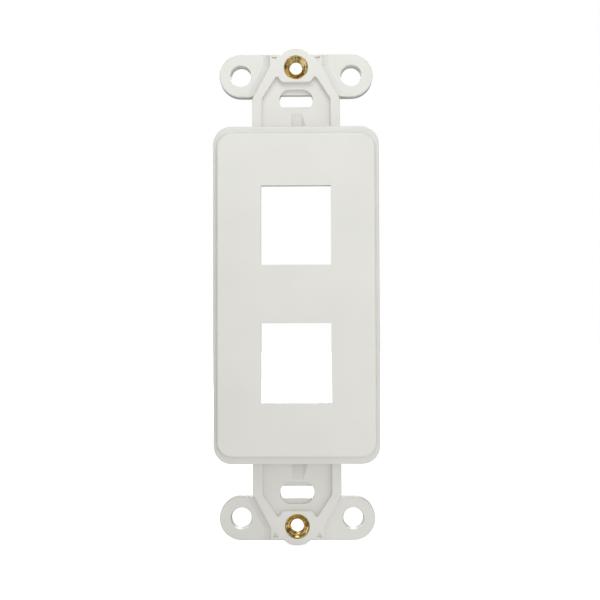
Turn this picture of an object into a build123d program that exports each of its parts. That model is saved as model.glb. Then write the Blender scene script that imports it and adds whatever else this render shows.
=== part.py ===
from build123d import *
import os

# Two-port wall plate insert: one plastic moulding with a brass threaded insert at each end.
# It is drawn lying on its back, seen from the front: x to the right, y up and z towards the
# viewer, with z = 0 on the wall. At the end it is stood up, so that its front looks along -Y.
# Millimetres throughout. Heights are measured forwards from the wall.

# Face block
FACE_WIDTH = 32.8
FACE_HEIGHT = 66.9
FACE_CORNER_RADIUS = 3.1
FACE_FRONT = 8.8
FACE_STEP = 1.5
STEP_SIDE_MARGIN = 0.85
STEP_END_MARGIN = 1.6
BLOCK_CORNER_RADIUS = 3.8
BLOCK_BACK_REACH = 1.2
BLOCK_WALL = 1.6
FACE_EDGE_RADIUS = 0.45
BLOCK_EDGE_RADIUS = 0.4

# Jack ports
PORT_SPACING = 28.4
WINDOW_WIDTH = 14.5
WINDOW_HEIGHT = 16.4
JACK_SIDE_CLEARANCE = 0.5
RECEIVER_WALL = 1.2
HOOK_POCKET_HEIGHT = 1.8
HOOK_LEDGE_THICKNESS = 2.4
HOOK_LEDGE_SETBACK = 0.8
LATCH_POCKET_HEIGHT = 3.0
LATCH_CATCH_THICKNESS = 1.8
LATCH_CATCH_SETBACK = 1.65
CATCH_CHAMFER = 1.0
RIB_THICKNESS = 1.1
RIB_SETBACK = 2.0
END_RIB_OFFSET = 5.0

# Rows of holes, counted outwards from the end of the raised face. With these two steps the
# box screw slots lie 83.34 apart and the plate screws 96.84 apart.
FACE_TO_BOX_SCREW = 8.22
BOX_SCREW_TO_PLATE_SCREW = 6.75
PLATE_SCREW_TO_EAR_HOLE = 1.42

# Ears
EAR_HOLE_SPACING = 23.6
EAR_HOLE_DIAMETER = 4.2
EAR_HOLE_MOUTH_DIAMETER = 4.6
EAR_HOLE_MOUTH_DEPTH = 1.0
EAR_RADIUS = 4.6
EAR_THICKNESS = 2.1
EAR_EDGE_RADIUS = 0.3

# Neck, rims and boss
NECK_WIDTH = 18.6
RIM_WIDTH = 2.05
RIM_FRONT = 3.6
FLOOR_THICKNESS = 2.35
RIM_BEND_DROP = 0.6
SHOULDER_WIDTH = 11.2
SHOULDER_RISE = 0.3
SHOULDER_SLOPE_WIDTH = 1.45
SHOULDER_SLOPE_HEIGHT = 1.2
SHOULDER_SLOPE_RADIUS = 3.0
SLOPE_OVERRUN = 1.0
RAISED_TOP_SETBACK = 0.45
BOSS_RADIUS = 4.0
PAD_CORNER_WIDTH = 8.1
PAD_CORNER_DROP = 1.7
PAD_EDGE_WIDTH = 6.2
PAD_EDGE_DROP = 3.2
PAD_EDGE_RADIUS = 1.1
PAD_CORNER_RADIUS = 0.35
RIM_BEND_RADIUS = 1.2
RIM_EDGE_RADIUS = 0.25

# Small core pockets between boss and shoulder, deepest at the wall that closes them
CORE_POCKET_OFFSET = 4.6
CORE_POCKET_WIDTH = 1.2
CORE_POCKET_LENGTH = 1.3
CORE_POCKET_DEPTH = 0.45
CORE_POCKET_WALL = 0.45

# Box screw slot, with a thin lip on each long side that grips the screw
SLOT_LENGTH = 7.2
SLOT_HEIGHT = 4.6
SLOT_LIP_DEPTH = 1.0
SLOT_CLEAR_HEIGHT = 2.6

# Ramped relief in the neck floor, beside the face block
RELIEF_LENGTH = 3.7
RELIEF_WIDTH = 2.2
RELIEF_SHIFT = 0.1
RELIEF_DEPTH = 1.2
RELIEF_START_DEPTH = 0.05

# Brass inserts, for a 6-32 screw
INSERT_DIAMETER = 5.2
INSERT_LENGTH = 2.2
INSERT_MOUTH_RIM = 0.2
INSERT_MOUTH_DEPTH = 0.9
INSERT_BORE_RADIUS = 1.35
INSERT_TAIL_CHAMFER = 0.3
KNURL_BAND_WIDTH = 0.75
KNURL_GROOVE_DEPTH = 0.3
KNURL_TEETH = 20
KNURL_TOOTH_DEPTH = 0.14
SCREW_CLEARANCE_DIAMETER = 4.0

# Places and sizes worked out from the driving ones
face_end = FACE_HEIGHT / 2
block_width = FACE_WIDTH + 2 * STEP_SIDE_MARGIN
block_height = FACE_HEIGHT + 2 * STEP_END_MARGIN
block_end = block_height / 2
block_front = FACE_FRONT - FACE_STEP
block_back = -BLOCK_BACK_REACH
box_screw_row = face_end + FACE_TO_BOX_SCREW
plate_screw_row = box_screw_row + BOX_SCREW_TO_PLATE_SCREW
ear_hole_row = plate_screw_row - PLATE_SCREW_TO_EAR_HOLE
ear_lower_edge = ear_hole_row - EAR_RADIUS
ear_upper_edge = ear_hole_row + EAR_RADIUS
raised_top = ear_upper_edge - RAISED_TOP_SETBACK
rim_bend_row = ear_lower_edge - RIM_BEND_DROP
shoulder_row = plate_screw_row + SHOULDER_RISE
pocket_width = NECK_WIDTH - 2 * RIM_WIDTH
neck_root = block_end - BLOCK_WALL / 2
insert_seat = RIM_FRONT - INSERT_LENGTH


def prism(sketch, bottom, top):
    """A plan outline raised from one height to another."""
    return extrude(Pos(0, 0, bottom) * sketch, top - bottom)


def symmetric_outline(left):
    """A closed outline from the corners of its left half, each given as x, y and rounding."""
    right = [(-x, y, rounding) for x, y, rounding in reversed(left)]
    corners = left + right
    outline = make_face(Polyline(*[(x, y) for x, y, rounding in corners], close=True))
    for x, y, rounding in corners:
        if rounding > 0:
            corner = outline.vertices().sort_by_distance((x, y, 0))[0]
            outline = fillet(corner, rounding)
    return outline


def face_block_shell():
    """The stepped block, hollow and open at the back, with an even wall behind every face."""
    block_plan = RectangleRounded(block_width, block_height, BLOCK_CORNER_RADIUS)
    block = prism(block_plan, block_back, block_front)
    block = fillet(block.edges().group_by(Axis.Z)[-1], BLOCK_EDGE_RADIUS)
    face_plan = RectangleRounded(FACE_WIDTH, FACE_HEIGHT, FACE_CORNER_RADIUS)
    face = prism(face_plan, block_front - BLOCK_WALL, FACE_FRONT)
    face = fillet(face.edges().group_by(Axis.Z)[-1], FACE_EDGE_RADIUS)
    wide_hollow = prism(
        RectangleRounded(
            block_width - 2 * BLOCK_WALL,
            block_height - 2 * BLOCK_WALL,
            BLOCK_CORNER_RADIUS - BLOCK_WALL,
        ),
        block_back,
        block_front - BLOCK_WALL,
    )
    narrow_hollow = prism(
        RectangleRounded(
            FACE_WIDTH - 2 * BLOCK_WALL,
            FACE_HEIGHT - 2 * BLOCK_WALL,
            FACE_CORNER_RADIUS - BLOCK_WALL / 2,
        ),
        block_back,
        FACE_FRONT - BLOCK_WALL,
    )
    return block + face - wide_hollow - narrow_hollow


def receiver_height_span():
    """How far the inside of a receiver reaches below and above its window's centre."""
    low = -WINDOW_HEIGHT / 2 - HOOK_POCKET_HEIGHT
    high = WINDOW_HEIGHT / 2 + LATCH_POCKET_HEIGHT
    return low, high


def receiver_sleeve(port_row):
    """The solid outer form of the receiver behind one window."""
    low, high = receiver_height_span()
    width = WINDOW_WIDTH + 2 * JACK_SIDE_CLEARANCE + 2 * RECEIVER_WALL
    height = high - low + 2 * RECEIVER_WALL
    outline = Pos(0, port_row + (low + high) / 2) * Rectangle(width, height)
    return prism(outline, block_back, FACE_FRONT - BLOCK_WALL / 2)


def receiver_hollow(port_row):
    """The window, the jack's way in from behind, and the pockets for its hook and its latch."""
    low, high = receiver_height_span()
    inner_front = FACE_FRONT - BLOCK_WALL
    inner_width = WINDOW_WIDTH + 2 * JACK_SIDE_CLEARANCE
    window = prism(Pos(0, port_row) * Rectangle(WINDOW_WIDTH, WINDOW_HEIGHT), block_back, FACE_FRONT)
    ledge_edge = port_row - WINDOW_HEIGHT / 2 - HOOK_LEDGE_SETBACK
    catch_edge = port_row + WINDOW_HEIGHT / 2 + LATCH_CATCH_SETBACK
    way_in = prism(
        Pos(0, (ledge_edge + catch_edge) / 2) * Rectangle(inner_width, catch_edge - ledge_edge),
        block_back,
        inner_front,
    )
    hook_pocket = prism(
        Pos(0, port_row + low / 2) * Rectangle(inner_width, -low),
        block_back + HOOK_LEDGE_THICKNESS,
        inner_front,
    )
    latch_pocket = prism(
        Pos(0, port_row + high / 2) * Rectangle(inner_width, high),
        block_back + LATCH_CATCH_THICKNESS,
        inner_front,
    )
    lead_in_profile = Plane.YZ * make_face(
        Polyline(
            (catch_edge, block_back),
            (catch_edge + CATCH_CHAMFER, block_back),
            (catch_edge, block_back + CATCH_CHAMFER),
            close=True,
        )
    )
    lead_in = extrude(lead_in_profile, inner_width / 2, both=True)
    return window + way_in + hook_pocket + latch_pocket + lead_in


def stiffening_ribs():
    """Ribs that tie the receivers to the block's side walls, to each other and to its ends."""
    bottom = block_back + RIB_SETBACK
    top = FACE_FRONT - BLOCK_WALL / 2
    across = FACE_WIDTH - BLOCK_WALL
    ribs = prism(Rectangle(across, RIB_THICKNESS), bottom, top)
    for port_row in (-PORT_SPACING / 2, PORT_SPACING / 2):
        ribs += prism(Pos(0, port_row) * Rectangle(across, RIB_THICKNESS), bottom, top)
    for x in (-END_RIB_OFFSET, END_RIB_OFFSET):
        behind_face = Pos(x, 0) * Rectangle(RIB_THICKNESS, FACE_HEIGHT - BLOCK_WALL)
        behind_step = Pos(x, 0) * Rectangle(RIB_THICKNESS, block_height - BLOCK_WALL)
        ribs += prism(behind_face, bottom, top)
        ribs += prism(behind_step, bottom, block_front - BLOCK_WALL / 2)
    return ribs


def face_block():
    """The stepped shell with its two windows, receivers and ribs."""
    port_rows = (-PORT_SPACING / 2, PORT_SPACING / 2)
    block = face_block_shell() + stiffening_ribs()
    for port_row in port_rows:
        block += receiver_sleeve(port_row)
    for port_row in port_rows:
        block -= receiver_hollow(port_row)
    return block


def raised_outline():
    """The outer plan outline of neck, rims and shoulders at the upper end, without the boss."""
    half_neck = NECK_WIDTH / 2
    half_shoulder = SHOULDER_WIDTH / 2
    return symmetric_outline(
        [
            (-half_neck, neck_root, 0),
            (-half_neck, rim_bend_row, RIM_BEND_RADIUS),
            (-half_shoulder, shoulder_row, 0),
            (-half_shoulder, raised_top, 0),
        ]
    )


def pocket_outline():
    """The plan outline of the recessed floor between the rims and below the boss pad."""
    return symmetric_outline(
        [
            (-pocket_width / 2, neck_root, 0),
            (-pocket_width / 2, rim_bend_row, RIM_BEND_RADIUS),
            (-PAD_CORNER_WIDTH / 2, plate_screw_row - PAD_CORNER_DROP, PAD_CORNER_RADIUS),
            (-PAD_EDGE_WIDTH / 2, plate_screw_row - PAD_EDGE_DROP, PAD_EDGE_RADIUS),
        ]
    )


def core_pockets():
    """The small pockets beside the boss: pointed in plan, with a floor that runs out at the point."""
    top = raised_top - CORE_POCKET_WALL
    point = top - CORE_POCKET_LENGTH
    half = CORE_POCKET_WIDTH / 2
    plan = make_face(Polyline((-half, top), (half, top), (0, point), close=True))
    side_view = Plane.YZ * make_face(
        Polyline(
            (top, RIM_FRONT - CORE_POCKET_DEPTH),
            (point, RIM_FRONT),
            (point, RIM_FRONT + CORE_POCKET_DEPTH),
            (top, RIM_FRONT + CORE_POCKET_DEPTH),
            close=True,
        )
    )
    pocket = extrude(side_view, half, both=True) & prism(plan, 0, RIM_FRONT + CORE_POCKET_DEPTH)
    return [Pos(centre, 0, 0) * pocket for centre in (-CORE_POCKET_OFFSET, CORE_POCKET_OFFSET)]


def screw_slot():
    """The box screw slot: an obround down to the lips, then a narrower way between them."""
    outline = Pos(0, box_screw_row) * SlotOverall(SLOT_LENGTH, SLOT_HEIGHT)
    between_lips = Pos(0, box_screw_row) * Rectangle(2 * SLOT_LENGTH, SLOT_CLEAR_HEIGHT)
    lip_front = FLOOR_THICKNESS - SLOT_LIP_DEPTH
    wide = prism(outline, lip_front, FLOOR_THICKNESS)
    narrow = prism(outline & between_lips, 0, FLOOR_THICKNESS)
    return wide + narrow


def ramped_relief():
    """The relief that deepens towards the face block, with one upright and one sloping side."""

    def section(row, depth):
        left = RELIEF_SHIFT - RELIEF_WIDTH / 2
        right = RELIEF_SHIFT + RELIEF_WIDTH / 2
        corners = [(left, 0), (left, -depth), (right, -depth), (right + depth, 0)]
        place = Plane(origin=(0, row, FLOOR_THICKNESS), x_dir=(1, 0, 0), z_dir=(0, -1, 0))
        return place * make_face(Polyline(*corners, close=True))

    deep = section(block_end, RELIEF_DEPTH)
    shallow = section(block_end + RELIEF_LENGTH, RELIEF_START_DEPTH)
    return loft([deep, shallow], ruled=True)


def foot_slope(start, end, outwards_x):
    """The slightly hollow slope at the foot of one straight stretch of the raised part's wall."""
    foot = Vector(*start, EAR_THICKNESS)
    run = Vector(*end, EAR_THICKNESS) - foot
    along = run.normalized()
    place = Plane(origin=foot - along * SLOPE_OVERRUN, x_dir=Vector(0, 0, 1), z_dir=along)
    outwards = 1 if place.y_dir.X * outwards_x > 0 else -1
    out = outwards * SHOULDER_SLOPE_WIDTH
    inner = -outwards * RIM_WIDTH / 2
    sunk = -EAR_THICKNESS / 2
    up = SHOULDER_SLOPE_HEIGHT
    solid_side = Polyline((up, 0), (up, inner), (sunk, inner), (sunk, out), (0, out))
    hollow_side = RadiusArc((0, out), (up, 0), -outwards * SHOULDER_SLOPE_RADIUS)
    return extrude(place * make_face(solid_side + hollow_side), run.length + 2 * SLOPE_OVERRUN)


def shoulder_slopes(side):
    """Both stretches on one side: up the rim's slope, and on beside the boss."""
    bend = (side * NECK_WIDTH / 2, rim_bend_row)
    shoulder = (side * SHOULDER_WIDTH / 2, shoulder_row)
    top = (side * SHOULDER_WIDTH / 2, raised_top - SLOPE_OVERRUN)
    return foot_slope(bend, shoulder, side) + foot_slope(shoulder, top, side)


def ear_hole():
    """One ear hole on the z axis: a plain bore that widens towards the front."""
    bore_radius = EAR_HOLE_DIAMETER / 2
    mouth_radius = EAR_HOLE_MOUTH_DIAMETER / 2
    bore = prism(Circle(bore_radius), 0, EAR_THICKNESS)
    mouth = Pos(0, 0, EAR_THICKNESS - EAR_HOLE_MOUTH_DEPTH / 2) * Cone(
        bore_radius, mouth_radius, EAR_HOLE_MOUTH_DEPTH
    )
    return bore + mouth


def strap_end():
    """Neck, rims, boss, ears and holes at the upper end."""
    boss = Pos(0, plate_screw_row) * Circle(BOSS_RADIUS)
    ear_plan = Pos(0, ear_hole_row) * SlotOverall(EAR_HOLE_SPACING + 2 * EAR_RADIUS, 2 * EAR_RADIUS)
    ears = prism(ear_plan, 0, EAR_THICKNESS)
    ears = fillet(ears.edges().group_by(Axis.Z)[-1], EAR_EDGE_RADIUS)
    raised = prism(raised_outline() + boss, 0, RIM_FRONT)
    raised -= prism(pocket_outline(), FLOOR_THICKNESS, RIM_FRONT)
    raised = fillet(raised.edges().group_by(Axis.Z)[-1], RIM_EDGE_RADIUS)
    end = ears + raised
    for side in (-1, 1):
        end += shoulder_slopes(side) & prism(ear_plan, EAR_THICKNESS / 2, RIM_FRONT)
    for pocket in core_pockets():
        end -= pocket
    for side in (-1, 1):
        end -= Pos(side * EAR_HOLE_SPACING / 2, ear_hole_row) * ear_hole()
    end -= screw_slot()
    seat = Pos(0, plate_screw_row) * Circle(INSERT_DIAMETER / 2)
    end -= prism(seat, insert_seat, RIM_FRONT)
    way_through = Pos(0, plate_screw_row) * Circle(SCREW_CLEARANCE_DIAMETER / 2)
    end -= prism(way_through, 0, insert_seat)
    return end


def frame():
    """The whole moulding."""
    end = strap_end()
    body = face_block() + end + Rot(0, 0, 180) * end
    relief = ramped_relief()
    return body - relief - mirror(relief, Plane.XZ)


def threaded_insert():
    """A turned brass insert on the z axis, its mouth at height 0 and its tail below."""
    outer = INSERT_DIAMETER / 2
    mouth = outer - INSERT_MOUTH_RIM
    groove = outer - KNURL_GROOVE_DEPTH
    tail = -INSERT_LENGTH
    profile = Plane.XZ * make_face(
        Polyline(
            (mouth, 0),
            (outer, 0),
            (outer, -KNURL_BAND_WIDTH),
            (groove, -KNURL_BAND_WIDTH),
            (groove, tail + KNURL_BAND_WIDTH),
            (outer, tail + KNURL_BAND_WIDTH),
            (outer, tail),
            (INSERT_BORE_RADIUS + INSERT_TAIL_CHAMFER, tail),
            (INSERT_BORE_RADIUS, tail + INSERT_TAIL_CHAMFER),
            (INSERT_BORE_RADIUS, -INSERT_MOUTH_DEPTH),
            close=True,
        )
    )
    blank = revolve(profile, Axis.Z)
    notch_plan = make_face(
        Polyline(
            (outer - KNURL_TOOTH_DEPTH, 0),
            (outer + KNURL_TOOTH_DEPTH, -2 * KNURL_TOOTH_DEPTH),
            (outer + KNURL_TOOTH_DEPTH, 2 * KNURL_TOOTH_DEPTH),
            close=True,
        )
    )
    notches = [place * notch_plan for place in PolarLocations(0, KNURL_TEETH)]
    below_rim = -KNURL_TOOTH_DEPTH
    return blank - [prism(notch, tail, below_rim) for notch in notches]


def stood_up(shape):
    """Turned from lying on its back to standing, front towards -Y."""
    return Rot(90, 0, 0) * shape


insert = threaded_insert()
nodes = {
    "frame": frame(),
    "threaded_insert_top": Pos(0, plate_screw_row, RIM_FRONT) * insert,
    "threaded_insert_bottom": Pos(0, -plate_screw_row, RIM_FRONT) * insert,
}

os.makedirs("parts", exist_ok=True)
for name, shape in nodes.items():
    export_step(stood_up(shape), f"parts/{name}.step")
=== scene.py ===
"""Looks for a two-port wall plate insert: one off-white moulding with two pressed-in brass inserts.

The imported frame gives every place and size, in metres, with the front towards -Y and +Z up. This
script dresses the moulding, makes the threaded inserts with their countersunk mouths, tapped bores
and knurled skins, and sets up the floor, the light and the camera.
"""

from __future__ import annotations

import logging
import math
from dataclasses import dataclass, field
from enum import Enum

import bmesh
import bpy
from mathutils import Matrix, Vector

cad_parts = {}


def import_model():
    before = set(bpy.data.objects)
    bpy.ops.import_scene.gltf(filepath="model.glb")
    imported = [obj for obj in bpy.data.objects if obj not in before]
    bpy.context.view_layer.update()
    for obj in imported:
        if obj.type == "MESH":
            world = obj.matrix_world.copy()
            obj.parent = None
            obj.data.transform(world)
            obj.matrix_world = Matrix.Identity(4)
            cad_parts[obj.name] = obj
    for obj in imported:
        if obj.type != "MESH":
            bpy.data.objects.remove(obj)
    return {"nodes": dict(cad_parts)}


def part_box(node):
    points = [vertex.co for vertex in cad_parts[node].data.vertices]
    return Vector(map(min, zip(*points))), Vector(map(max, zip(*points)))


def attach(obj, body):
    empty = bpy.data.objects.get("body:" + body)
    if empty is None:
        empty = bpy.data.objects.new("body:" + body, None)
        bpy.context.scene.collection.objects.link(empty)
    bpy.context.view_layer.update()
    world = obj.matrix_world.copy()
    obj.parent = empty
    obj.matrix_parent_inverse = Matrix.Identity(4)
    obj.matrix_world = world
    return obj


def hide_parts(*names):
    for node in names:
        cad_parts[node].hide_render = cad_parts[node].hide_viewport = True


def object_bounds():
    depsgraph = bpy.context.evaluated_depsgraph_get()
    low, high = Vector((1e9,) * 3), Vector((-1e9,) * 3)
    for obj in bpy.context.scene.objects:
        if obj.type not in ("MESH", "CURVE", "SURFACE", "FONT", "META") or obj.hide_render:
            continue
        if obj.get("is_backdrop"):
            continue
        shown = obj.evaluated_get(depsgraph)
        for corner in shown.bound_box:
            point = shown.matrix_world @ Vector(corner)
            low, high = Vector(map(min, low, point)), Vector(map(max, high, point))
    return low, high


MM = 0.001
FULL_TURN = 2 * math.pi
NOISE_LOW = 0.3
NOISE_HIGH = 0.7
WELD_DISTANCE = 0.001 * MM

log = logging.getLogger("wall_plate_insert")

Colour = tuple[float, float, float]
Point = tuple[float, float, float]
Operand = float | bpy.types.NodeSocket


class End(Enum):
    """The two ends of the insert, each with the node that holds its brass."""

    TOP = "threaded_insert_top"
    BOTTOM = "threaded_insert_bottom"


class NodeSheet:
    """A node tree that is being filled in, with short ways to add its nodes and join them."""

    def __init__(self, tree: bpy.types.NodeTree) -> None:
        """Takes the tree that the nodes go into.

        Args:
            tree: a shader or a geometry node tree.
        """
        self.tree = tree

    def add(self, kind: str, **settings: object) -> bpy.types.Node:
        """Adds one node.

        Args:
            kind: Blender's name for the type of node.
            settings: values for the node's own properties.

        Returns:
            The new node.
        """
        node = self.tree.nodes.new(kind)
        for name, value in settings.items():
            setattr(node, name, value)
        return node

    def feed(self, socket: bpy.types.NodeSocket, value: object) -> None:
        """Joins another socket to this one, or sets its own value.

        Args:
            socket: the input that is fed.
            value: an output socket, or a plain value.
        """
        if isinstance(value, bpy.types.NodeSocket):
            self.tree.links.new(value, socket)
        else:
            socket.default_value = value

    def math(self, operation: str, *operands: Operand, clamp: bool = False) -> bpy.types.NodeSocket:
        """Adds a math node.

        Args:
            operation: the sum to do, such as ADD.
            operands: sockets or numbers, in order.
            clamp: whether the result is kept between 0 and 1.

        Returns:
            The node's result.
        """
        node = self.add("ShaderNodeMath", operation=operation, use_clamp=clamp)
        for socket, value in zip(node.inputs, operands):
            self.feed(socket, value)
        return node.outputs[0]

    def between(self, start: Operand, end: Operand, share: Operand) -> bpy.types.NodeSocket:
        """Goes from one value to another, by a share from 0 to 1."""
        change = self.math("MULTIPLY", share, self.math("SUBTRACT", end, start))
        return self.math("ADD", start, change)

    def ring_point(
        self, radius: Operand, turn: Operand, depth: Operand = 0.0
    ) -> bpy.types.NodeSocket:
        """Finds a point by its place about the Y axis.

        Args:
            radius: how far it is from the axis.
            turn: its angle about the axis, in radians.
            depth: how far along the axis it is.

        Returns:
            The point.
        """
        point = self.add("ShaderNodeCombineXYZ")
        self.feed(point.inputs["X"], self.math("MULTIPLY", radius, self.math("COSINE", turn)))
        self.feed(point.inputs["Y"], depth)
        self.feed(point.inputs["Z"], self.math("MULTIPLY", radius, self.math("SINE", turn)))
        return point.outputs[0]

    def noise(
        self, place: bpy.types.NodeSocket, scale: float, detail: float
    ) -> bpy.types.NodeSocket:
        """Adds a noise pattern.

        Args:
            place: the coordinates that the pattern follows.
            scale: how many lumps there are to a metre.
            detail: how many finer layers are added.

        Returns:
            The pattern's value, about 0.5 on average.
        """
        pattern = self.add("ShaderNodeTexNoise")
        self.feed(pattern.inputs["Vector"], place)
        self.feed(pattern.inputs["Scale"], scale)
        self.feed(pattern.inputs["Detail"], detail)
        return pattern.outputs["Fac"]

    def spread(
        self, value: bpy.types.NodeSocket, low: float, high: float
    ) -> bpy.types.NodeSocket:
        """Maps the middle of a noise pattern's range onto a range of values.

        Args:
            value: the pattern's value.
            low: the result where the pattern is lowest.
            high: the result where the pattern is highest.

        Returns:
            The mapped value.
        """
        node = self.add("ShaderNodeMapRange")
        self.feed(node.inputs["Value"], value)
        self.feed(node.inputs["From Min"], NOISE_LOW)
        self.feed(node.inputs["From Max"], NOISE_HIGH)
        self.feed(node.inputs["To Min"], low)
        self.feed(node.inputs["To Max"], high)
        return node.outputs["Result"]

    def tint(
        self, share: bpy.types.NodeSocket, dark: Colour, light: Colour
    ) -> bpy.types.NodeSocket:
        """Mixes two colours.

        Args:
            share: how much of the light colour there is, from 0 to 1.
            dark: the colour where the share is 0.
            light: the colour where the share is 1.

        Returns:
            The mixed colour.
        """
        mix = self.add("ShaderNodeMix", data_type="RGBA")
        self.feed(mix.inputs["Factor"], share)
        self.feed(mix.inputs["A"], (*dark, 1.0))
        self.feed(mix.inputs["B"], (*light, 1.0))
        return mix.outputs["Result"]

    def bump(
        self,
        height: bpy.types.NodeSocket,
        depth: float,
        under: bpy.types.NodeSocket | None = None,
    ) -> bpy.types.NodeSocket:
        """Raises a surface by a pattern.

        Args:
            height: the pattern's value.
            depth: how far apart the pattern's 0 and 1 lie, in metres.
            under: another bump, which this one lies on.

        Returns:
            The bumped normal.
        """
        node = self.add("ShaderNodeBump")
        self.feed(node.inputs["Strength"], 1.0)
        self.feed(node.inputs["Distance"], depth)
        self.feed(node.inputs["Height"], height)
        if under is not None:
            self.feed(node.inputs["Normal"], under)
        return node.outputs["Normal"]

    def background_ray(self) -> bpy.types.NodeSocket:
        """Gives 1 for camera and transmission rays, which see the background, and otherwise 0."""
        ray = self.add("ShaderNodeLightPath").outputs
        return self.math("MAXIMUM", ray["Is Camera Ray"], ray["Is Transmission Ray"])


@dataclass(frozen=True)
class MouldedPlastic:
    """Satin off-white plastic, with the fine spark-eroded grain that the mould leaves.

    Its tint drifts a little, and wide shallow sinks keep its flat faces from being dead flat.
    """

    slot: str = "moulded_plastic"
    light: Colour = (0.790, 0.788, 0.750)
    dark: Colour = (0.760, 0.759, 0.716)
    ior: float = 1.49
    specular: float = 0.42
    roughness: float = 0.46
    roughness_spread: float = 0.05
    tint_scale: float = 90.0
    tint_detail: float = 3.0
    grain_scale: float = 5200.0
    grain_detail: float = 2.0
    grain_height: float = 0.010 * MM
    sink_scale: float = 210.0
    sink_detail: float = 1.0
    sink_height: float = 0.030 * MM

    def material(self) -> bpy.types.Material:
        """Makes the material.

        Returns:
            The finished material.
        """
        material = bpy.data.materials.new(self.slot)
        material.use_nodes = True
        sheet = NodeSheet(material.node_tree)
        shader = material.node_tree.nodes["Principled BSDF"]
        shader.inputs["IOR"].default_value = self.ior
        shader.inputs["Specular IOR Level"].default_value = self.specular
        place = sheet.add("ShaderNodeTexCoord").outputs["Object"]

        drift = sheet.spread(sheet.noise(place, self.tint_scale, self.tint_detail), 0.0, 1.0)
        sheet.feed(shader.inputs["Base Color"], sheet.tint(drift, self.dark, self.light))

        low = self.roughness - self.roughness_spread
        high = self.roughness + self.roughness_spread
        grain = sheet.noise(place, self.grain_scale, self.grain_detail)
        sheet.feed(shader.inputs["Roughness"], sheet.spread(grain, low, high))

        sinks = sheet.noise(place, self.sink_scale, self.sink_detail)
        sunk = sheet.bump(sinks, self.sink_height)
        sheet.feed(shader.inputs["Normal"], sheet.bump(grain, self.grain_height, under=sunk))
        return material


@dataclass(frozen=True)
class TurnedBrass:
    """Bright brass with fine rings round its own axis, as a lathe tool leaves them."""

    slot: str = "insert_brass"
    light: Colour = (0.90, 0.70, 0.31)
    dark: Colour = (0.58, 0.39, 0.14)
    roughness: float = 0.16
    roughness_spread: float = 0.05
    ring_spacing: float = 0.075 * MM
    ring_height: float = 0.006 * MM
    tarnish_scale: float = 900.0
    tarnish_detail: float = 3.0

    def material(self, axis_point: Vector, name: str) -> bpy.types.Material:
        """Makes the material for one insert.

        Args:
            axis_point: a point on the insert's axis, which runs along Y.
            name: the name of the new material.

        Returns:
            The finished material.
        """
        material = bpy.data.materials.new(name)
        material.use_nodes = True
        sheet = NodeSheet(material.node_tree)
        shader = material.node_tree.nodes["Principled BSDF"]
        shader.inputs["Metallic"].default_value = 1.0
        place = sheet.add("ShaderNodeTexCoord").outputs["Object"]
        centred = sheet.add("ShaderNodeMapping", vector_type="POINT")
        sheet.feed(centred.inputs["Vector"], place)
        centred.inputs["Location"].default_value = tuple(-axis_point)

        parts = sheet.add("ShaderNodeSeparateXYZ")
        sheet.feed(parts.inputs[0], centred.outputs[0])
        across = sheet.math("MULTIPLY", parts.outputs["X"], parts.outputs["X"])
        upright = sheet.math("MULTIPLY", parts.outputs["Z"], parts.outputs["Z"])
        radius = sheet.math("SQRT", sheet.math("ADD", across, upright))
        along = sheet.math("ADD", radius, parts.outputs["Y"])
        ring = sheet.math("SINE", sheet.math("MULTIPLY", along, FULL_TURN / self.ring_spacing))

        tarnish = sheet.noise(place, self.tarnish_scale, self.tarnish_detail)
        bright = sheet.spread(tarnish, 0.0, 1.0)
        sheet.feed(shader.inputs["Base Color"], sheet.tint(bright, self.dark, self.light))

        low = self.roughness - self.roughness_spread
        high = self.roughness + self.roughness_spread
        sheet.feed(shader.inputs["Roughness"], sheet.spread(tarnish, low, high))
        sheet.feed(shader.inputs["Normal"], sheet.bump(ring, self.ring_height))
        return material


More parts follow.
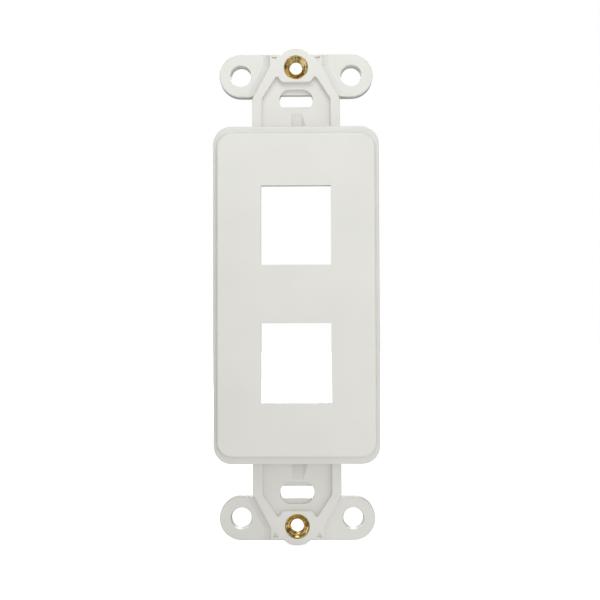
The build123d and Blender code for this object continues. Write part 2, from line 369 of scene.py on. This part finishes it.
@dataclass(frozen=True)
class LightDome:
    """The soft light in front of the object, strongest a little to the right.

    It is even all round the front and fades out just behind the object's sides. Matt surfaces get
    it as it is. Polished ones mirror the white surroundings instead, with darker patches in them.
    """

    towards: Point = (0.60, -1.0, 0.0)
    peak: float = 0.28
    around: float = 0.590
    behind: float = 0.02
    fade_end: float = 0.30
    fade_slope: float = 3.0
    patch_scale: float = 3.4
    patch_seed: float = 21.0
    patch_detail: float = 1.0
    patch_contrast: float = 8.0
    patch_dark: float = 0.09
    patch_light: float = 1.0

    def strength(self, sheet: NodeSheet, direction: bpy.types.NodeSocket) -> bpy.types.NodeSocket:
        """Works out how bright the dome is in a direction, for rays that the camera doesn't send.

        Args:
            sheet: the nodes of a floor or of the world.
            direction: the direction from the object, of length 1.

        Returns:
            The strength.
        """
        parts = sheet.add("ShaderNodeSeparateXYZ")
        sheet.feed(parts.inputs[0], direction)
        short = sheet.math("SUBTRACT", self.fade_end, parts.outputs["Y"])
        in_front = sheet.math("MULTIPLY", short, self.fade_slope, clamp=True)
        soft = sheet.math("MULTIPLY_ADD", in_front, self.around - self.behind, self.behind)
        along = sheet.add("ShaderNodeVectorMath", operation="DOT_PRODUCT")
        sheet.feed(along.inputs[0], direction)
        sheet.feed(along.inputs[1], tuple(Vector(self.towards).normalized()))
        ahead = sheet.math("MAXIMUM", along.outputs["Value"], 0.0)
        lit = sheet.math("MULTIPLY_ADD", sheet.math("MULTIPLY", ahead, ahead), self.peak, soft)

        patches = sheet.add("ShaderNodeTexNoise", noise_dimensions="4D")
        sheet.feed(patches.inputs["Vector"], direction)
        patches.inputs["W"].default_value = self.patch_seed
        patches.inputs["Scale"].default_value = self.patch_scale
        patches.inputs["Detail"].default_value = self.patch_detail
        above = sheet.math("SUBTRACT", patches.outputs["Fac"], 0.5)
        sharp = sheet.math("MULTIPLY", above, self.patch_contrast, clamp=True)
        rise = self.patch_light - self.patch_dark
        patchy = sheet.math("MULTIPLY_ADD", sharp, rise, self.patch_dark)
        mirrored = sheet.math("MULTIPLY", patchy, in_front)

        glossy = sheet.add("ShaderNodeLightPath").outputs["Is Glossy Ray"]
        return sheet.between(lit, mirrored, glossy)


@dataclass(frozen=True)
class PaleFloor:
    """A plain floor that the camera sees as white, with the object's soft shadow on it.

    What it throws back of the lamps' light has a colour of its own, much darker than the one that
    the camera sees, so that the object's undersides stay dark.
    """

    dome: LightDome
    level: float
    light_height: float = 0.008
    seen: Colour = (0.80, 0.80, 0.80)
    bounced: Colour = (0.08, 0.065, 0.06)
    glow: float = 0.55
    fade_start: float = 0.08
    fade_length: float = 0.20

    def material(self) -> bpy.types.Material:
        """Makes the material.

        The object is also lit from below, so to rays that the camera doesn't send the floor is as
        bright as the part of the dome that it hides.

        Returns:
            The finished material.
        """
        material = bpy.data.materials.new("pale_floor")
        material.use_nodes = True
        sheet = NodeSheet(material.node_tree)
        material.node_tree.nodes.remove(material.node_tree.nodes["Principled BSDF"])
        out = material.node_tree.nodes["Material Output"]
        seen_ray = sheet.background_ray()
        matt = sheet.add("ShaderNodeBsdfDiffuse")
        sheet.feed(matt.inputs["Color"], sheet.tint(seen_ray, self.bounced, self.seen))

        # Near the object the glow is short of white by about what the light there adds to it.
        place = sheet.add("ShaderNodeTexCoord").outputs["Object"]
        reach = sheet.add("ShaderNodeVectorMath", operation="LENGTH")
        sheet.feed(reach.inputs[0], place)
        past = sheet.math("SUBTRACT", reach.outputs["Value"], self.fade_start)
        faded = sheet.math("DIVIDE", past, self.fade_length, clamp=True)
        white = sheet.math("MULTIPLY_ADD", faded, 1.0 - self.glow, self.glow)

        # The dome is taken as seen from just above the floor, under the object's middle.
        offset = sheet.add("ShaderNodeVectorMath", operation="SUBTRACT")
        sheet.feed(offset.inputs[0], place)
        sheet.feed(offset.inputs[1], (0.0, 0.0, self.level + self.light_height))
        direction = sheet.add("ShaderNodeVectorMath", operation="NORMALIZE")
        sheet.feed(direction.inputs[0], offset.outputs["Vector"])
        dome = self.dome.strength(sheet, direction.outputs["Vector"])

        glow = sheet.add("ShaderNodeEmission")
        sheet.feed(glow.inputs["Strength"], sheet.between(dome, white, seen_ray))
        both = sheet.add("ShaderNodeAddShader")
        sheet.feed(both.inputs[0], matt.outputs[0])
        sheet.feed(both.inputs[1], glow.outputs[0])
        sheet.feed(out.inputs["Surface"], both.outputs[0])
        return material


@dataclass
class Moulding:
    """The plastic moulding: face block, receivers, necks, rims, bosses and ears in one piece."""

    node: bpy.types.Object
    finish: MouldedPlastic = field(default_factory=MouldedPlastic)

    def dress(self) -> None:
        """Gives the CAD node its plastic."""
        material = self.finish.material()
        for slot in self.node.material_slots:
            slot.material = material
        log.info("moulding dressed, %d faces", len(self.node.data.polygons))


@dataclass
class ThreadedInsert:
    """A turned brass insert with a countersunk mouth, a tapped bore and two knurled bands.

    It is built with its mouth's centre at the origin and its depth along +Y, then put in place.
    """

    end: End
    finish: TurnedBrass = field(default_factory=TurnedBrass)
    rim_width: float = 0.20 * MM
    rim_edge: float = 0.05 * MM
    mouth_depth: float = 0.90 * MM
    minor_radius: float = 1.35 * MM
    major_radius: float = 1.72 * MM
    pitch: float = 0.794 * MM
    flank_slope: float = 2.6
    crest_share: float = 0.15
    tail_chamfer: float = 0.40 * MM
    knurl_band: float = 0.75 * MM
    knurl_depth: float = 0.14 * MM
    tooth_share: float = 0.6
    groove_depth: float = 0.30 * MM
    teeth: int = 20
    steps_around: int = 144
    steps_along: int = 72
    sharp_angle: float = 35.0

    def __post_init__(self) -> None:
        """Reads the insert's place, radius and length from its CAD node, and works out the rest."""
        low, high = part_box(self.end.value)
        self.mouth = Vector(((low.x + high.x) / 2, low.y, (low.z + high.z) / 2))
        self.outer_radius = (high.x - low.x) / 2
        self.length = high.y - low.y
        self.mouth_radius = self.outer_radius - self.rim_width
        self.tail_radius = self.minor_radius + self.tail_chamfer

    def blank(self) -> bpy.types.Mesh:
        """Turns the outside: the rim, both bands with the groove between them, and the tail.

        Returns:
            A mesh that is open along the bore.
        """
        band = self.outer_radius - self.knurl_depth
        groove = self.outer_radius - self.groove_depth
        skin = self.outer_radius
        edge = self.rim_edge
        profile = [
            (self.mouth_radius, 0.0),
            (skin - edge, 0.0),
            (skin, edge),
            (skin, 2 * edge),
            (band, 3 * edge),
            (band, self.knurl_band - edge),
            (groove, self.knurl_band),
            (groove, self.length - self.knurl_band),
            (band, self.length - self.knurl_band + edge),
            (band, self.length - edge),
            (band - edge, self.length),
            (self.tail_radius, self.length),
        ]
        points = [
            (radius * math.cos(turn), depth, radius * math.sin(turn))
            for turn in (FULL_TURN * step / self.steps_around for step in range(self.steps_around))
            for radius, depth in profile
        ]
        row = len(profile)
        faces = [
            (
                step * row + place,
                step * row + place + 1,
                (step + 1) % self.steps_around * row + place + 1,
                (step + 1) % self.steps_around * row + place,
            )
            for step in range(self.steps_around)
            for place in range(row - 1)
        ]
        mesh = bpy.data.meshes.new("insert_blank")
        mesh.from_pydata(points, [], faces)
        return mesh

    def tapping_tree(self) -> bpy.types.NodeTree:
        """Builds the node tree that taps the bore and cuts the knurl.

        Returns:
            The geometry node tree, with its sizes as named inputs.
        """
        tree = bpy.data.node_groups.new("tap_and_knurl", "GeometryNodeTree")
        sides = tree.interface
        sides.new_socket("Blank", in_out="INPUT", socket_type="NodeSocketGeometry")
        for name in self.sizes():
            sides.new_socket(name, in_out="INPUT", socket_type="NodeSocketFloat")
        for name in self.counts():
            sides.new_socket(name, in_out="INPUT", socket_type="NodeSocketInt")
        sides.new_socket("Brass", in_out="INPUT", socket_type="NodeSocketMaterial")
        sides.new_socket("Insert", in_out="OUTPUT", socket_type="NodeSocketGeometry")
        sheet = NodeSheet(tree)
        given = sheet.add("NodeGroupInput").outputs
        whole = sheet.add("GeometryNodeJoinGeometry")
        sheet.feed(whole.inputs[0], given["Blank"])
        sheet.feed(whole.inputs[0], self.tapped_bore(sheet, given))
        sheet.feed(whole.inputs[0], self.knurl(sheet, given))
        real = sheet.add("GeometryNodeRealizeInstances")
        sheet.feed(real.inputs[0], whole.outputs[0])
        painted = sheet.add("GeometryNodeSetMaterial")
        sheet.feed(painted.inputs["Geometry"], real.outputs[0])
        sheet.feed(painted.inputs["Material"], given["Brass"])
        sheet.feed(sheet.add("NodeGroupOutput").inputs["Insert"], painted.outputs[0])
        return tree

    def sizes(self) -> dict[str, float]:
        """Lists the sizes that the node tree takes.

        Returns:
            Each size by the name of its input.
        """
        return {
            "Mouth Radius": self.mouth_radius,
            "Mouth Depth": self.mouth_depth,
            "Minor Radius": self.minor_radius,
            "Major Radius": self.major_radius,
            "Pitch": self.pitch,
            "Flank Slope": self.flank_slope,
            "Crest Share": self.crest_share,
            "Length": self.length,
            "Tail Radius": self.tail_radius,
            "Crest Radius": self.outer_radius,
            "Tooth Size": 2 * self.knurl_depth,
            "Tooth Length": self.tooth_share * self.knurl_band,
            "Band Width": self.knurl_band,
        }

    def counts(self) -> dict[str, int]:
        """Lists the numbers of steps and teeth that the node tree takes.

        Returns:
            Each number by the name of its input.
        """
        return {
            "Steps Around": self.steps_around,
            "Steps Along": self.steps_along,
            "Teeth": self.teeth,
        }

    @staticmethod
    def tapped_bore(sheet: NodeSheet, given: bpy.types.NodeOutputs) -> bpy.types.NodeSocket:
        """Rolls a flat grid into the bore: the mouth's cone, the thread and the tail's chamfer.

        The bore is as wide at each point as the widest of the three.

        Args:
            sheet: the tree's nodes.
            given: the tree's inputs.

        Returns:
            The bore's surface, facing its axis.
        """
        grid = sheet.add("GeometryNodeMeshGrid")
        grid.inputs["Size X"].default_value = 1.0
        grid.inputs["Size Y"].default_value = 1.0
        sheet.feed(grid.inputs["Vertices X"], sheet.math("ADD", given["Steps Around"], 1.0))
        sheet.feed(grid.inputs["Vertices Y"], sheet.math("ADD", given["Steps Along"], 1.0))
        flat = sheet.add("ShaderNodeSeparateXYZ")
        sheet.feed(flat.inputs[0], sheet.add("GeometryNodeInputPosition").outputs[0])
        share = sheet.math("ADD", flat.outputs["X"], 0.5)
        depth = sheet.math("MULTIPLY", sheet.math("ADD", flat.outputs["Y"], 0.5), given["Length"])

        taper = sheet.math("SUBTRACT", given["Mouth Radius"], given["Minor Radius"])
        slope = sheet.math("DIVIDE", taper, given["Mouth Depth"])
        cone = sheet.math("SUBTRACT", given["Mouth Radius"], sheet.math("MULTIPLY", depth, slope))
        turns = sheet.math("SUBTRACT", sheet.math("DIVIDE", depth, given["Pitch"]), share)
        phase = sheet.math("SUBTRACT", sheet.math("FRACT", turns), 0.5)
        steep = sheet.math("MULTIPLY", sheet.math("ABSOLUTE", phase), given["Flank Slope"])
        flank = sheet.math("SUBTRACT", steep, given["Crest Share"], clamp=True)
        height = sheet.math("SUBTRACT", given["Major Radius"], given["Minor Radius"])
        thread = sheet.math("MULTIPLY_ADD", flank, height, given["Minor Radius"])
        left = sheet.math("SUBTRACT", given["Length"], depth)
        tail = sheet.math("SUBTRACT", given["Tail Radius"], left)
        radius = sheet.math("MAXIMUM", sheet.math("MAXIMUM", cone, thread), tail)

        turn = sheet.math("MULTIPLY", share, FULL_TURN)
        rolled = sheet.add("GeometryNodeSetPosition")
        sheet.feed(rolled.inputs["Geometry"], grid.outputs["Mesh"])
        sheet.feed(rolled.inputs["Position"], sheet.ring_point(radius, turn, depth))
        return rolled.outputs[0]

    @staticmethod
    def knurl(sheet: NodeSheet, given: bpy.types.NodeOutputs) -> bpy.types.NodeSocket:
        """Sets a ring of straight teeth round both bands.

        Args:
            sheet: the tree's nodes.
            given: the tree's inputs.

        Returns:
            The teeth, as instances.
        """
        # A tooth is a square bar that stands on its edge, half sunk in the band.
        tooth = sheet.add("GeometryNodeMeshCube")
        size = sheet.add("ShaderNodeCombineXYZ")
        narrow = sheet.math("MULTIPLY", given["Tooth Size"], 1 / math.sqrt(2))
        sheet.feed(size.inputs["X"], narrow)
        sheet.feed(size.inputs["Y"], given["Tooth Length"])
        sheet.feed(size.inputs["Z"], narrow)
        sheet.feed(tooth.inputs["Size"], size.outputs[0])
        pair = sheet.add("GeometryNodeJoinGeometry")
        front = sheet.math("MULTIPLY", given["Band Width"], 0.5)
        back = sheet.math("SUBTRACT", given["Length"], front)
        for depth in (front, back):
            shift = sheet.add("ShaderNodeCombineXYZ")
            sheet.feed(shift.inputs["Y"], depth)
            turned = sheet.add("GeometryNodeTransform")
            turned.inputs["Rotation"].default_value = (0.0, math.radians(45), 0.0)
            sheet.feed(turned.inputs["Geometry"], tooth.outputs["Mesh"])
            sheet.feed(turned.inputs["Translation"], shift.outputs[0])
            sheet.feed(pair.inputs[0], turned.outputs[0])

        row = sheet.add("GeometryNodeMeshLine")
        sheet.feed(row.inputs["Count"], given["Teeth"])
        number = sheet.add("GeometryNodeInputIndex").outputs[0]
        turn = sheet.math("MULTIPLY", sheet.math("DIVIDE", number, given["Teeth"]), FULL_TURN)
        half_tooth = sheet.math("MULTIPLY", given["Tooth Size"], 0.5)
        reach = sheet.math("SUBTRACT", given["Crest Radius"], half_tooth)
        ring = sheet.add("GeometryNodeSetPosition")
        sheet.feed(ring.inputs["Geometry"], row.outputs["Mesh"])
        sheet.feed(ring.inputs["Position"], sheet.ring_point(reach, turn))
        facing = sheet.add("ShaderNodeCombineXYZ")
        sheet.feed(facing.inputs["Y"], sheet.math("MULTIPLY", turn, -1.0))
        teeth = sheet.add("GeometryNodeInstanceOnPoints")
        sheet.feed(teeth.inputs["Points"], ring.outputs[0])
        sheet.feed(teeth.inputs["Instance"], pair.outputs[0])
        sheet.feed(teeth.inputs["Rotation"], facing.outputs[0])
        return teeth.outputs[0]

    def build(self) -> bpy.types.Object:
        """Makes the insert, puts it in its boss and dresses it.

        Returns:
            The finished piece.
        """
        name = f"brass_{self.end.value}"
        material = self.finish.material(self.mouth, name)
        worked = bpy.data.objects.new(name, self.blank())
        bpy.context.scene.collection.objects.link(worked)
        tree = self.tapping_tree()
        modifier = worked.modifiers.new("tapping", "NODES")
        modifier.node_group = tree
        sockets = [item for item in tree.interface.items_tree if item.in_out == "INPUT"]
        values = {**self.sizes(), **self.counts(), "Brass": material}
        for socket in sockets:
            if socket.name in values:
                modifier[socket.identifier] = values[socket.name]
        bpy.context.view_layer.update()
        evaluated = worked.evaluated_get(bpy.context.evaluated_depsgraph_get())
        mesh = bpy.data.meshes.new_from_object(evaluated)
        worked.modifiers.clear()
        worked.data = mesh
        weld(mesh)
        mesh.transform(Matrix.Translation(self.mouth))
        mesh.shade_smooth()
        mesh.set_sharp_from_angle(angle=math.radians(self.sharp_angle))
        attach(worked, "root")
        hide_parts(self.end.value)
        log.info("%s built, %d faces", name, len(mesh.polygons))
        return worked


def weld(mesh: bpy.types.Mesh) -> None:
    """Merges the points that meet, and turns every face outwards.

    Args:
        mesh: the mesh to weld in place.
    """
    work = bmesh.new()
    work.from_mesh(mesh)
    bmesh.ops.remove_doubles(work, verts=work.verts, dist=WELD_DISTANCE)
    bmesh.ops.recalc_face_normals(work, faces=work.faces)
    work.to_mesh(mesh)
    work.free()


@dataclass(frozen=True)
class SoftLamp:
    """One square soft box, aimed at a point and unseen by the camera."""

    name: str
    place: Point
    aim: Point
    side: float
    watts: float

    def hang(self) -> None:
        """Puts the lamp in the scene."""
        lamp = bpy.data.lights.new(self.name, "AREA")
        lamp.shape = "SQUARE"
        lamp.size = self.side
        lamp.energy = self.watts
        holder = bpy.data.objects.new(self.name, lamp)
        holder.location = self.place
        look = Vector(self.aim) - Vector(self.place)
        holder.rotation_mode = "QUATERNION"
        holder.rotation_quaternion = look.to_track_quat("-Z", "Y")
        holder.visible_camera = False
        bpy.context.scene.collection.objects.link(holder)


@dataclass(frozen=True)
class PhotoCamera:
    """The camera, where the photograph was taken from. Its angles are in degrees."""

    right: float = 3.16 * MM
    distance: float = 210.8 * MM
    height: float = -8.74 * MM
    tilt: float = -2.117
    pan: float = -0.677
    roll: float = 0.201
    lens: float = 59.06
    sensor: float = 36.0
    nearest: float = 5.0 * MM
    farthest: float = 20.0

    def place(self) -> None:
        """Puts the camera in the scene and makes it the scene's own."""
        data = bpy.data.cameras.new("photo_camera")
        data.lens = self.lens
        data.sensor_width = self.sensor
        data.clip_start = self.nearest
        data.clip_end = self.farthest
        camera = bpy.data.objects.new("photo_camera", data)
        camera.location = (self.right, -self.distance, self.height)
        upright = Matrix.Rotation(math.radians(90), 3, "X")
        panned = Matrix.Rotation(math.radians(-self.pan), 3, "Y")
        tilted = Matrix.Rotation(math.radians(-self.tilt), 3, "X")
        rolled = Matrix.Rotation(math.radians(-self.roll), 3, "Z")
        camera.rotation_mode = "QUATERNION"
        camera.rotation_quaternion = (upright @ panned @ tilted @ rolled).to_quaternion()
        bpy.context.scene.collection.objects.link(camera)
        bpy.context.scene.camera = camera


@dataclass
class Studio:
    """The floor, the soft light, the white surroundings and the camera."""

    floor_level: float
    floor_half: float = 2.5
    dome: LightDome = field(default_factory=LightDome)
    lamps: tuple[SoftLamp, ...] = (
        SoftLamp("key", place=(0.0, -0.10, 0.12), aim=(0.0, 0.0, 0.05), side=0.08, watts=0.044),
        SoftLamp("low", place=(0.05, -0.25, -0.02), aim=(0.0, 0.0, -0.03), side=0.12, watts=0.075),
        SoftLamp("back", place=(0.06, 0.58, 0.34), aim=(0.0, 0.0, 0.0), side=0.30, watts=2.9),
        SoftLamp("rear_left", place=(-0.35, 0.48, 0.24), aim=(0.0, 0.0, 0.0), side=0.24, watts=1.1),
    )

    def floor(self) -> None:
        """Lays the floor under the object."""
        half = self.floor_half
        corners = [(-half, -half), (half, -half), (half, half), (-half, half)]
        mesh = bpy.data.meshes.new("floor")
        mesh.from_pydata([(x, y, self.floor_level) for x, y in corners], [], [(0, 1, 2, 3)])
        mesh.materials.append(PaleFloor(self.dome, self.floor_level).material())
        floor = bpy.data.objects.new("floor", mesh)
        bpy.context.scene.collection.objects.link(floor)
        floor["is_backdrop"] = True

    def surroundings(self) -> None:
        """Makes the world: white where it is looked at, and the dome of light elsewhere."""
        world = bpy.data.worlds.new("studio")
        world.use_nodes = True
        bpy.context.scene.world = world
        sheet = NodeSheet(world.node_tree)
        background = world.node_tree.nodes["Background"]
        background.inputs["Color"].default_value = (1.0, 1.0, 1.0, 1.0)
        dome = self.dome.strength(sheet, sheet.add("ShaderNodeTexCoord").outputs["Generated"])
        strength = sheet.between(dome, 1.0, sheet.background_ray())
        sheet.feed(background.inputs["Strength"], strength)

    def set_up(self) -> None:
        """Puts everything in place."""
        self.floor()
        self.surroundings()
        for lamp in self.lamps:
            lamp.hang()
        PhotoCamera().place()
        bpy.context.scene.view_settings.view_transform = "Standard"


def corners_as_lists(box: tuple[Vector, Vector]) -> list[list[float]]:
    """A box's two corners as plain lists."""
    return [list(corner) for corner in box]


def main() -> None:
    """Builds and dresses every piece, then the studio."""
    logging.basicConfig(level=logging.INFO, format="%(name)s: %(message)s")
    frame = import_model()
    cad_box = corners_as_lists(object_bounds())
    Moulding(frame["nodes"]["frame"]).dress()
    for end in End:
        ThreadedInsert(end).build()
    Studio(floor_level=cad_box[0][2]).set_up()


if __name__ == "__main__":
    main()
